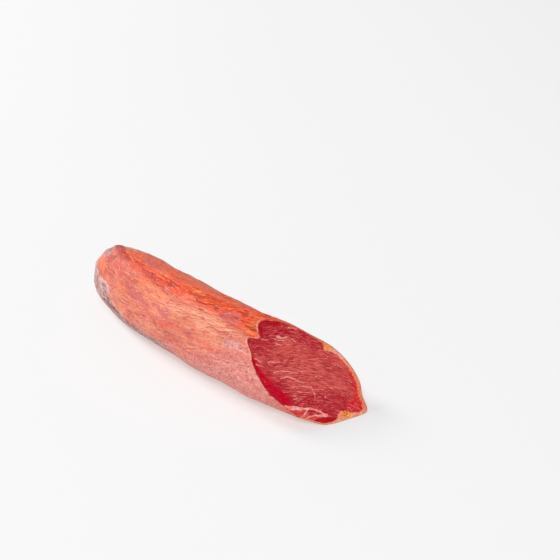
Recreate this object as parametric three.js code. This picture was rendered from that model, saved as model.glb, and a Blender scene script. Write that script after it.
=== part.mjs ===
import * as THREE from 'three';

// A length of cured pork loin in its casing, lying on its side along X. One end is the rounded
// natural end of the muscle, the other is cut through at a slant, so the cut face looks up and
// towards +X. The axis bows towards +Y at both ends. Sizes are millimetres, and angles round the
// section are degrees from +Y towards +Z. The origin is under the middle of the piece, on the
// surface that it rests on.

// Body: the section is a circle with a few low waves in its radius
const tipX = -125;
const meanRadius = 28.5;
const sectionWaves = [
  { perTurn: 1, height: 0.4, peak: 79 },
  { perTurn: 2, height: 1.05, peak: -24 },
  { perTurn: 3, height: 0.8, peak: -20 },
  { perTurn: 4, height: 0.85, peak: 15 },
];
const axisHeight = 24.3;
const axisSide = -4.3;
const bowOffset = 6.9;
const bowReach = 100;
const waistLoss = 0.014;

// Rounded end
const domeLength = 58;
const domeFullness = 2.22;
const tipLift = 1.4;

// Cut: how far its plane runs along X for each millimetre sideways and upwards
const cutX = 92;
const cutPerSide = 0.28;
const cutPerRise = -1.15;
const rimRound = 0.5;
const faceDish = 0.5;

// Furrow along the top of the near side, which deepens towards the cut and notches its outline
const furrow = {
  angle: 117.5, depth: 4.6, topSide: 10, nearSide: 5,
  startX: -75, fullX: 57, wander: 3, wanderLength: 84,
};

// Pleats gathered at the rounded end
const pleats = { perTurn: 9, depth: 0.9, reach: 34, twist: 3.2, uneven: 0.45, unevenPerTurn: 2 };

// Broad unevenness of the muscle under its casing
const swells = [
  { perTurn: 3, length: 92, height: 0.45, offset: 0.4 },
  { perTurn: 5, length: 61, height: 0.3, offset: 2.1 },
  { perTurn: 2, length: 47, height: 0.3, offset: 4.0 },
];

// Single lumps and dents: place, half-width along and round, and height outwards
const lumps = [
  { x: -103, angle: 88, along: 5, round: 15, height: 2.6 },
  { x: -116, angle: 100, along: 6, round: 20, height: -1.2 },
  { x: -90, angle: 78, along: 9, round: 22, height: -1.4 },
  { x: -74, angle: 205, along: 13, round: 25, height: -1.0 },
  { x: 10, angle: 214, along: 14, round: 25, height: 0.8 },
  { x: 60, angle: 132, along: 24, round: 8, height: 1.6 },
  { x: 72, angle: 155, along: 12, round: 8, height: 1.1 },
  { x: 74, angle: 36, along: 24, round: 16, height: -1.5 },
  { x: 78, angle: 220, along: 20, round: 25, height: 1.7 },
  { x: 112, angle: 228, along: 14, round: 12, height: -1.7 },
  { x: 120, angle: 325, along: 14, round: 9, height: -1.3 },
  { x: 122, angle: 307, along: 20, round: 12, height: 2.0 },
];

// Underside: the height over which the flat patch that it rests on runs out into the round
const restBlend = 2;

// Mesh: lines run from the tip to the cut and crowd together at the furrow
const lineCount = 72;
const lineCrowding = 0.42;
const ringCount = 52;
const tipCrowding = 1.35;
const faceRingCount = 7;
const cutSearchSteps = 30;

const surface = { color: 0xd4614f, roughness: 0.45, metalness: 0 };

const fullTurn = 2 * Math.PI;
const fullTurnDegrees = 360;
const halfTurnDegrees = 180;

function radians(degrees) {
  return THREE.MathUtils.degToRad(degrees);
}

function clampUnit(value) {
  return THREE.MathUtils.clamp(value, 0, 1);
}

function bell(offset, halfWidth) {
  return Math.exp(-((offset / halfWidth) ** 2));
}

// Signed difference between an angle and a place round the section, the short way, in degrees
function degreesFrom(angle, place) {
  const turned = THREE.MathUtils.radToDeg(angle) - place + halfTurnDegrees;
  return THREE.MathUtils.euclideanModulo(turned, fullTurnDegrees) - halfTurnDegrees;
}

function sectionRadius(angle) {
  let radius = meanRadius;
  for (const wave of sectionWaves) {
    radius += wave.height * Math.cos(wave.perTurn * (angle - radians(wave.peak)));
  }
  return radius;
}

function furrowDepth(x, angle) {
  const sway = furrow.wander * Math.sin(fullTurn * (x - furrow.fullX) / furrow.wanderLength);
  const off = degreesFrom(angle, furrow.angle + sway);
  const halfWidth = off < 0 ? furrow.topSide : furrow.nearSide;
  const grown = THREE.MathUtils.smoothstep(x, furrow.startX, furrow.fullX);
  return furrow.depth * grown * bell(off, halfWidth);
}

function pleatHeight(x, angle) {
  const along = (x - tipX) / pleats.reach;
  const wave = Math.cos(pleats.perTurn * angle + pleats.twist * Math.sin(angle) + along);
  const uneven = 1 + pleats.uneven * Math.sin(pleats.unevenPerTurn * angle + pleats.twist);
  return pleats.depth * bell(along, 1) * wave * uneven;
}

function swellHeight(x, angle) {
  let height = 0;
  for (const swell of swells) {
    height += swell.height * Math.sin(swell.perTurn * angle + fullTurn * x / swell.length + swell.offset);
  }
  return height;
}

function lumpHeight(x, angle) {
  let height = 0;
  for (const lump of lumps) {
    const nearness = bell(x - lump.x, lump.along) * bell(degreesFrom(angle, lump.angle), lump.round);
    height += lump.height * nearness;
  }
  return height;
}

// Share of the full section that is left at x, falling to nothing at the tip
function domeShare(x) {
  const along = clampUnit((x - tipX) / domeLength);
  return (1 - (1 - along) ** domeFullness) ** (1 / domeFullness);
}

function waistShare(x) {
  return 1 - waistLoss * ((x - cutX) / bowReach) ** 2;
}

function axisY(x) {
  return axisSide + bowOffset * (x / bowReach) ** 2;
}

function axisZ(x) {
  const toDomeEnd = 1 - clampUnit((x - tipX) / domeLength);
  return axisHeight * waistShare(x) + tipLift * toDomeEnd ** 2;
}

// The flat patch underneath: heights well below nought become nought, with a soft shoulder above
function restedHeight(z) {
  if (z <= -restBlend) {
    return 0;
  }
  if (z >= restBlend) {
    return z;
  }
  return (z + restBlend) ** 2 / (4 * restBlend);
}

function skinPoint(x, angle) {
  const relief = swellHeight(x, angle) + lumpHeight(x, angle) + pleatHeight(x, angle);
  const full = sectionRadius(angle) - furrowDepth(x, angle) + relief;
  const radius = full * waistShare(x) * domeShare(x);
  const y = axisY(x) + radius * Math.cos(angle);
  const z = restedHeight(axisZ(x) + radius * Math.sin(angle));
  return new THREE.Vector3(x, y, z);
}

function cutPlaneX(y, z) {
  return cutX + cutPerSide * (y - axisY(cutX)) + cutPerRise * (z - axisHeight);
}

// Where the line at this angle meets the cut plane
function cutEndX(angle) {
  let x = cutX;
  for (let step = 0; step < cutSearchSteps; step += 1) {
    const point = skinPoint(x, angle);
    x = (x + cutPlaneX(point.y, point.z)) / 2;
  }
  return x;
}

function lineAngles() {
  const angles = [];
  for (let line = 0; line < lineCount; line += 1) {
    const even = fullTurn * line / lineCount;
    angles.push(even - lineCrowding * Math.sin(even - radians(furrow.angle)));
  }
  return angles;
}

// Rings of skin from beside the tip to the edge of the cut, which stop short by the rounding
function skinRings(angles) {
  const ends = angles.map((angle) => cutEndX(angle) - rimRound);
  const rings = [];
  for (let ring = 1; ring <= ringCount; ring += 1) {
    const share = (ring / ringCount) ** tipCrowding;
    rings.push(angles.map((angle, line) => skinPoint(tipX + share * (ends[line] - tipX), angle)));
  }
  return rings;
}

// Rings on the cut face, from just inside the skin towards the middle, ending at the middle point
function faceRings(angles) {
  const outward = new THREE.Vector3(1, -cutPerSide, -cutPerRise).normalize();
  const middle = new THREE.Vector3(cutX, axisY(cutX), axisHeight);
  const edge = angles.map((angle) => skinPoint(cutEndX(angle), angle));
  const rings = [];
  for (let ring = 0; ring < faceRingCount; ring += 1) {
    rings.push(edge.map((point) => {
      const share = (1 - rimRound / point.distanceTo(middle)) * (1 - ring / faceRingCount);
      const dish = faceDish * (1 - share ** 2);
      return middle.clone().lerp(point, share).addScaledVector(outward, -dish);
    }));
  }
  return { rings, last: middle.addScaledVector(outward, -faceDish) };
}

// Closed skin over rings that all have the same number of points, with a point at each end
function closedGeometry(first, rings, last) {
  const points = [first, ...rings.flat(), last];
  const lastIndex = points.length - 1;
  const lastRing = 1 + (rings.length - 1) * lineCount;
  const indices = [];
  for (let line = 0; line < lineCount; line += 1) {
    const next = (line + 1) % lineCount;
    indices.push(0, 1 + next, 1 + line);
    for (let here = 1; here < lastRing; here += lineCount) {
      const beyond = here + lineCount;
      indices.push(here + line, here + next, beyond + line);
      indices.push(here + next, beyond + next, beyond + line);
    }
    indices.push(lastRing + line, lastRing + next, lastIndex);
  }
  const geometry = new THREE.BufferGeometry().setFromPoints(points);
  geometry.setIndex(indices);
  return geometry;
}

// Brings the middle of the geometry's length and width over the origin
function centreOverOrigin(geometry) {
  geometry.computeBoundingBox();
  const middle = geometry.boundingBox.getCenter(new THREE.Vector3());
  geometry.translate(-middle.x, -middle.y, 0);
}

function makeLoin() {
  const angles = lineAngles();
  const face = faceRings(angles);
  const rings = [...skinRings(angles), ...face.rings];
  const geometry = closedGeometry(skinPoint(tipX, 0), rings, face.last);
  centreOverOrigin(geometry);
  geometry.computeVertexNormals();
  const loin = new THREE.Mesh(geometry, new THREE.MeshStandardMaterial(surface));
  loin.name = 'loin';
  return loin;
}

const part = new THREE.Group();
part.add(makeLoin());

export default part;
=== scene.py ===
import math

import bpy
import numpy as np
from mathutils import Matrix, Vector, noise


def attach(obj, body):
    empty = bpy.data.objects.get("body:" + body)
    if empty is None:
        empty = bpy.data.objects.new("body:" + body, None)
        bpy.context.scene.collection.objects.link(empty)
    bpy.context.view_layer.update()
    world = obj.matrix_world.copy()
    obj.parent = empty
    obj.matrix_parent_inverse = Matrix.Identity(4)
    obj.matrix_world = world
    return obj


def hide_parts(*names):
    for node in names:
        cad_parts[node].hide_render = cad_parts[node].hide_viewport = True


# A length of cured pork loin in its casing, with one rounded end and one slanted cut face.
# Sizes and places in the dictionaries are millimetres. Angles round the section are degrees
# from +Y over the top, so 90 is the top and 180 the near side.

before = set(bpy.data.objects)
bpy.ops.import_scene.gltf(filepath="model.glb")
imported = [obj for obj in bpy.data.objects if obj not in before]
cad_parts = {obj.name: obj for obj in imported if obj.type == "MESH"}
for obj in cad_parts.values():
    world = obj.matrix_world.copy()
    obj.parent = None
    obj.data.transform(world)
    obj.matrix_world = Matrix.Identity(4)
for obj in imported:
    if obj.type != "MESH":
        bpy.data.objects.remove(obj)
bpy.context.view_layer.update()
mm = 0.001

# The part's own drawing: the axis that its section goes round, its tip, and the plane of the cut.
# The frame is centred, so all of it is moved by how far the tip is from where it is drawn.
body = dict(axisSide=-4.3, bow=6.9, bowReach=100, axisHeight=24.3, radius=28.5, tip=-125)
cut = dict(along=92, outward=(1, -0.28, 1.15), sideways=(0.28, 1, 0), dish=0.5)


def axisSideAt(along):
    return body["axisSide"] + body["bow"] * (along / body["bowReach"]) ** 2


tipPlace = min((vertex.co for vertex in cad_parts["loin"].data.vertices), key=lambda place: place.x)
centring = Vector((tipPlace.x / mm - body["tip"], tipPlace.y / mm - axisSideAt(body["tip"]), 0))
cutMiddle = Vector((cut["along"], axisSideAt(cut["along"]), body["axisHeight"])) + centring
cutOutward = Vector(cut["outward"]).normalized()
cutAcross = Vector(cut["sideways"]).normalized()
cutUp = cutOutward.cross(cutAcross)


# Camera, light and floor

cameraView = dict(azimuth=45.36, elevation=28.9, distance=1000, target=(-8.43, 76.07, 27), lens=87.9)

studio = dict(
    skyStrength=0.34,
    floor=dict(size=9000, colour=(0.45, 0.45, 0.453), dimmed=0.98, glow=0.452),
    lamps=[
        dict(name="softboxLeft", place=(-3100, -600, 2100), aim=(0, 0, 0), size=1400, power=93),
        dict(name="softboxFront", place=(1500, -2000, 2950), aim=(0, 0, 20), size=1500, power=75),
    ],
)


def turnTowards(place, aim):
    return (Vector(place) - Vector(aim)).to_track_quat("Z", "Y").to_euler()


def addCamera():
    azimuth = math.radians(cameraView["azimuth"])
    elevation = math.radians(cameraView["elevation"])
    away = Vector((
        math.cos(elevation) * math.sin(azimuth),
        -math.cos(elevation) * math.cos(azimuth),
        math.sin(elevation),
    ))
    aim = Vector(cameraView["target"]) + centring
    place = aim + away * cameraView["distance"]
    bpy.ops.object.camera_add(location=place * mm, rotation=turnTowards(place, aim))
    camera = bpy.context.object
    camera.data.lens = cameraView["lens"]
    camera.data.clip_start = 0.05
    bpy.context.scene.camera = camera


def addStudio():
    world = bpy.data.worlds.new("studio")
    world.use_nodes = True
    world.node_tree.nodes["Background"].inputs["Color"].default_value = (1, 1, 1, 1)
    world.node_tree.nodes["Background"].inputs["Strength"].default_value = studio["skyStrength"]
    bpy.context.scene.world = world
    for lamp in studio["lamps"]:
        place = Vector(lamp["place"])
        bpy.ops.object.light_add(
            type="AREA", location=place * mm, rotation=turnTowards(place, lamp["aim"])
        )
        light = bpy.context.object
        light.name = lamp["name"]
        light.data.shape = "DISK"
        light.data.size = lamp["size"] * mm
        light.data.energy = lamp["power"]
    bpy.context.scene.view_settings.view_transform = "Standard"


# Shader maths: a Wire is a socket, and an expression on wires adds its Math nodes

class Wire:
    def __init__(self, finish, socket):
        self.finish = finish
        self.socket = socket

    def maths(self, operation, *values):
        return self.finish.add("Math", {"operation": operation}, dict(enumerate(values)))

    def __add__(self, other):
        return self.maths("ADD", self, other)

    def __radd__(self, other):
        return self.maths("ADD", other, self)

    def __sub__(self, other):
        return self.maths("SUBTRACT", self, other)

    def __rsub__(self, other):
        return self.maths("SUBTRACT", other, self)

    def __mul__(self, other):
        return self.maths("MULTIPLY", self, other)

    def __rmul__(self, other):
        return self.maths("MULTIPLY", other, self)

    def __truediv__(self, other):
        return self.maths("DIVIDE", self, other)

    def __abs__(self):
        return self.maths("ABSOLUTE", self)

    def over(self, low, high):
        # rises smoothly from 0 at low to 1 at high
        return self.finish.add(
            "MapRange", {"interpolation_type": "SMOOTHSTEP"},
            {"Value": self, "From Min": low, "From Max": high},
        )


class Finish:
    def __init__(self, name, colours=None):
        self.colours = colours
        self.material = bpy.data.materials.new(name)
        self.material.use_nodes = True
        self.tree = self.material.node_tree
        self.surface = self.tree.nodes["Principled BSDF"]

    def add(self, kind, settings=None, inputs=None, output=0):
        node = self.tree.nodes.new("ShaderNode" + kind)
        for name, value in (settings or {}).items():
            setattr(node, name, value)
        for name, value in (inputs or {}).items():
            self.feed(node.inputs[name], value)
        return Wire(self, node.outputs[output])

    def feed(self, socket, value):
        if isinstance(value, Wire):
            self.tree.links.new(value.socket, socket)
        else:
            socket.default_value = value

    def painted(self, name):
        return self.add("Attribute", {"attribute_name": name}, output="Fac")

    def places(self, size=1):
        # object places, in millimetres divided by size
        coordinates = self.add("TexCoord", output="Object")
        return self.add("Mapping", {}, {"Vector": coordinates, "Scale": [1 / (mm * size)] * 3})

    def grain(self, length, width, shift=0.0):
        # places along and across the painted grain, divided by the length and width of a streak
        return self.add("CombineXYZ", {}, {
            0: self.painted("along") / length,
            1: self.painted("over") / width,
            2: self.painted("third") / width + shift,
        })

    def cloud(self, where, detail=3, rough=0.55, warp=0):
        return self.add("TexNoise", {}, {
            "Vector": where, "Scale": 1, "Detail": detail, "Roughness": rough, "Distortion": warp,
        })

    def named(self, colour):
        return srgb(*self.colours[colour]) if isinstance(colour, str) else colour

    def tint(self, share, under, over):
        # on a Mix node, 6 and 7 are its two colours and 2 is the mixed one
        colours = {0: share, 6: self.named(under), 7: self.named(over)}
        return self.add("Mix", {"data_type": "RGBA"}, colours, 2)

    def mottle(self, colour, field, limits, paler, darker):
        # tints the high places of a field and then its low places, each by a share and a colour
        for high, (share, shade) in ((field, paler), (1 - field, darker)):
            colour = self.tint(high.over(*limits) * share, colour, shade)
        return colour

    def bump(self, height, depth, strength=1):
        return self.add("Bump", {}, {"Height": height, "Strength": strength, "Distance": depth * mm})

    def shade(self, values):
        for name, value in values.items():
            self.feed(self.surface.inputs[name], value)


def srgb(red, green, blue):
    # a colour as seen on the screen, 0 to 255, to linear light
    def linear(level):
        level /= 255
        return level / 12.92 if level <= 0.04045 else ((level + 0.055) / 1.055) ** 2.4
    return (linear(red), linear(green), linear(blue), 1)


# Modelling helpers

def deselectAll():
    for item in bpy.context.selected_objects:
        item.select_set(False)


def pick(piece):
    deselectAll()
    piece.select_set(True)
    bpy.context.view_layer.objects.active = piece


def editAll(piece, kind="VERT"):
    pick(piece)
    bpy.ops.object.mode_set(mode="EDIT")
    bpy.ops.mesh.select_mode(type=kind)
    bpy.ops.mesh.select_all(action="SELECT")


def leaveEdit():
    bpy.ops.object.mode_set(mode="OBJECT")


def editFaces(piece, test):
    # enters edit mode with only the faces selected that pass the test on centre and normal
    editAll(piece, "FACE")
    bpy.ops.mesh.select_all(action="DESELECT")
    leaveEdit()
    for face in piece.data.polygons:
        face.select = bool(test(face.center / mm, face.normal))
    bpy.ops.object.mode_set(mode="EDIT")


def editEdges(piece, test):
    # the same for edges, tested on their two vertex numbers
    editAll(piece, "EDGE")
    bpy.ops.mesh.select_all(action="DESELECT")
    leaveEdit()
    for edge in piece.data.edges:
        edge.select = bool(test(*edge.vertices))
    bpy.ops.object.mode_set(mode="EDIT")


def turnOutward(piece):
    # makes the faces of an open sheet on the cut look outward
    editAll(piece, "FACE")
    bpy.ops.mesh.normals_make_consistent(inside=False)
    leaveEdit()
    if sum(face.normal.dot(cutOutward) for face in piece.data.polygons) < 0:
        editAll(piece, "FACE")
        bpy.ops.mesh.flip_normals()
        leaveEdit()


def addModifier(piece, kind, **settings):
    # adds a modifier and applies it
    pick(piece)
    modifier = piece.modifiers.new(kind.lower(), kind)
    for name, value in settings.items():
        setattr(modifier, name, value)
    bpy.ops.object.modifier_apply(modifier=modifier.name)


def placesOf(piece):
    places = np.empty(len(piece.data.vertices) * 3)
    piece.data.vertices.foreach_get("co", places)
    return places.reshape(-1, 3) / mm


def movePlaces(piece, places):
    piece.data.vertices.foreach_set("co", (places * mm).ravel())
    piece.data.update()


def liftAboveFloor(piece, gap, slack=0.001):
    # flattens whatever would come out through the underside, under the thin lower edge of the cut
    places = placesOf(piece)
    places[places[:, 2] < -slack, 2] = gap
    movePlaces(piece, places)


def paint(piece, fields):
    # each field becomes an attribute of its own name, which the piece's finish reads
    for name, values in fields.items():
        layer = piece.data.attributes.new(name, "FLOAT", "POINT")
        layer.data.foreach_set("value", np.asarray(values, dtype=np.float32))


def raiseBy(piece, heights):
    # pushes the surface out, or in where the heights are negative, by weight-painted modifiers
    for name, sign in (("raised", 1), ("pressed", -1)):
        amounts = np.clip(sign * heights, 0, None)
        most = amounts.max()
        group = piece.vertex_groups.new(name=name)
        for index in np.nonzero(amounts > 0)[0]:
            group.add([int(index)], amounts[index] / most, "REPLACE")
        addModifier(piece, "DISPLACE", vertex_group=name, mid_level=0, strength=sign * most * mm)
        piece.vertex_groups.remove(piece.vertex_groups[name])


def finishPiece(piece, finish, node="loin"):
    pick(piece)
    bpy.ops.object.shade_smooth()
    piece.data.materials.clear()
    piece.data.materials.append(finish.material)
    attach(piece, "root")
    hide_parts(node)
    print("made", piece.name, "with", len(piece.data.polygons), "faces")


# Fields over the places of a mesh

def smooth(values, low, high):
    share = np.clip((values - low) / (high - low), 0, 1)
    return share * share * (3 - 2 * share)


cloudShape = dict(dimension=0.8, lacunarity=2.1, seedStep=17.3)


def cloudAt(places, size, layers=2, seed=0):
    # soft noise from about -1 to 1; size is one number or one for each axis
    scaled = places / np.asarray(size) + seed * cloudShape["seedStep"]
    shape = cloudShape["dimension"], cloudShape["lacunarity"], layers
    return np.array([noise.fractal(Vector(place), *shape) for place in scaled])


def creasesAt(places, size, sharp, layers=2, seed=0):
    # thin wandering lines, 1 along their middle and 0 away from them
    return np.clip(1 - np.abs(cloudAt(places, size, layers, seed)) / sharp, 0, 1)


def turnFrom(angles, place=0):
    # the short way round from a place, in degrees
    return (angles - place + 180) % 360 - 180


def blobs(first, second, marks, wrap=lambda difference: difference):
    # sum of soft blobs, each with two places, two half-widths and a strength
    total = np.zeros(len(first))
    for place, other, reach, otherReach, strength in marks:
        away = ((first - place) / reach) ** 2 + (wrap(second - other) / otherReach) ** 2
        total += strength * np.exp(-away)
    return total


def nearLine(first, second, line):
    # strength of a tapered line at each place; a line is its points, its half-widths and its strength
    points, widths, strength = line
    points = np.array(points, float)
    steps = np.hypot(*np.diff(points, axis=0).T)
    reached = np.concatenate([[0], np.cumsum(steps)]) / steps.sum()
    best = np.zeros(len(first))
    for start, end, low, high in zip(points[:-1], points[1:], reached[:-1], reached[1:]):
        leg = end - start
        share = ((first - start[0]) * leg[0] + (second - start[1]) * leg[1]) / (leg @ leg)
        share = np.clip(share, 0, 1)
        off = np.hypot(first - start[0] - share * leg[0], second - start[1] - share * leg[1])
        width = np.interp(low + share * (high - low), np.linspace(0, 1, len(widths)), widths)
        best = np.maximum(best, strength * np.exp(-(off / width) ** 2))
    return best


# Places on the skin and on the cut

def fromCutPlane(places):
    return (np.asarray(places) - np.array(cutMiddle)) @ np.array(cutOutward)


def onCut(places):
    away = places - np.array(cutMiddle)
    return away @ np.array(cutAcross), away @ np.array(cutUp)


def anglesOnCut(places):
    # degrees from across towards up
    across, up = onCut(places)
    return np.degrees(np.arctan2(up, across))


def fromAxis(places):
    # how far sideways and upwards of the axis
    drawn = places - np.array(centring)
    return drawn[:, 1] - axisSideAt(drawn[:, 0]), drawn[:, 2] - body["axisHeight"]


def anglesRound(places):
    sideways, upwards = fromAxis(places)
    return np.degrees(np.arctan2(upwards, sideways)) % 360


def unrolled(angles):
    # millimetres round the skin from the top
    return turnFrom(angles, 90) * math.radians(body["radius"])


def linesOnSkin(along, around, lines):
    # the strongest of the lines at each place; their points are places along and angles
    strongest = np.zeros(len(along))
    for points, widths, strength in lines:
        placed = [(place, unrolled(angle)) for place, angle in points]
        strongest = np.maximum(strongest, nearLine(along, around, (placed, widths, strength)))
    return strongest


# Casing: the whole outside, with a shallow recess that holds the cut meat

casing = dict(
    wall=0.3, recess=1.6, weldWithin=0.01, quadSlack=180, rimCrease=0.75, recessCrease=1.0, ringPoints=576,
    floorGap=0.04, floorFade=(0.2, 2.2), cutFade=(0.4, 3), raggedAlong=5, raggedRound=6, lineSway=0.5,
    ridgeHighlightOffset=1.0,
)

# How the cut face and the floor of the recess are told from other faces: least share of the normal
# that looks outward, and distances behind the plane of the cut
cutFaceTest = dict(outward=0.985, within=0.75)
recessTest = dict(outward=0.98, behind=(0.75, 2.6), beyondX=50)

# Direction of the skin's grain: it turns down towards the rounded end and up towards the cut
skinGrain = dict(tipFrom=-60, tipTurn=0.012, cutFrom=-15, cutTurn=0.38)

# Relief of the skin: heights, and sizes along and across the grain
skinRelief = dict(
    lumps=(0.3, (13, 9, 9)), ripples=(0.2, (18, 2.2, 2.2)), folds=(0.5, (30, 2.6, 2.6)),
    creases=(0.3, (15, 2.0, 2.0)), grain=(0.08, (2.2, 1.2, 1.2)), lines=(0.15, None),
    crinkles=(0.5, (4.2, 2.4, 2.4)),
)

# Orange-red bands along the skin: points as places along and angles, half-widths in millimetres along
# them, and strength
skinBands = [
    ([(-96, 93), (-88, 101), (-78, 107), (-66, 110)], (2.2, 3.0), 0.6),
    ([(-72, 107), (-50, 112), (-35, 110), (-20, 107), (0, 101)], (2.8, 3.9), 0.82),
    ([(-6, 98), (18, 101), (40, 97), (62, 94)], (5.0, 5.0, 4.6, 6.5), 1.1),
    ([(-46, 84), (-34, 92), (-24, 98)], (2.2, 2.6), 0.5),
    ([(42, 102), (51, 110), (58, 120)], (3.0, 4.0), 1.0),
    ([(10, 72), (34, 78), (58, 76)], (3.5, 4.5), 0.8),
    ([(-90, 42), (-50, 36), (-10, 41), (30, 38), (66, 46)], (3.5, 6.0), 0.5),
    ([(-70, -14), (-30, -8), (10, -16), (60, -10), (96, -14)], (4.0, 5.0), 0.45),
]

# Thin dark creases, given in the same way
skinLines = [
    ([(-34, 139), (-27, 140), (-18, 139), (-10, 137)], (0.3, 0.45, 0.3), 0.6),
    ([(-14, 137), (-4, 134), (9, 133), (19, 128)], (0.4, 0.4), 0.7),
    ([(-5, 138), (4, 136), (10, 136), (20, 131)], (0.45, 0.3), 0.75),
    ([(20, 131), (27, 133), (33, 132), (38, 129)], (0.35, 0.45, 0.3), 0.75),
    ([(24, 137), (28, 135), (35, 136), (42, 132), (49, 127)], (0.35, 0.5, 0.3), 0.9),
    ([(18, 124), (24, 126), (30, 125), (36, 121)], (0.4, 0.3), 0.7),
    ([(20, 121), (30, 123), (40, 118), (46, 113)], (0.4, 0.3), 0.7),
    ([(8, 131), (16, 131), (24, 128)], (0.35, 0.45, 0.3), 0.8),
    ([(30, 129), (38, 129), (46, 124)], (0.35, 0.45, 0.3), 0.8),
    ([(2, 111), (12, 110), (18, 104), (25, 98), (35, 95)], (0.5, 0.6, 0.4), 0.9),
    ([(-14, 100), (-5, 104), (6, 103), (14, 100), (20, 98)], (0.5, 0.7, 0.4), 1.0),
    ([(27, 104), (36, 100), (44, 96), (52, 90)], (0.5, 0.7), 1.0),
    ([(46, 108), (54, 106), (62, 101)], (0.5, 0.8, 0.5), 1.0),
    ([(50, 114), (55, 112), (60, 110)], (0.5, 0.7, 0.4), 1.0),
    ([(44, 101), (50, 99), (58, 94)], (0.5, 0.7, 0.4), 0.9),
    ([(10, 181), (16, 177), (22, 172)], (0.4, 0.5, 0.3), 0.9),
    ([(-68, 107), (-55, 110), (-42, 110), (-32, 109), (-21, 106)], (0.5, 0.7, 0.4), 0.8),
    ([(-60, 158), (-52, 161), (-45, 160)], (0.35, 0.35), 0.6),
    ([(-30, 44), (-12, 48), (10, 45)], (0.4, 0.5), 0.8),
    ([(-4, -6), (18, -10), (40, -6)], (0.4, 0.5), 0.8),
]

# The redder upper side that the bands lie in: middle angle, half-width and where it starts
upperSide = dict(angle=84, reach=(26, 46), start=(-106, -84))

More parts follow.
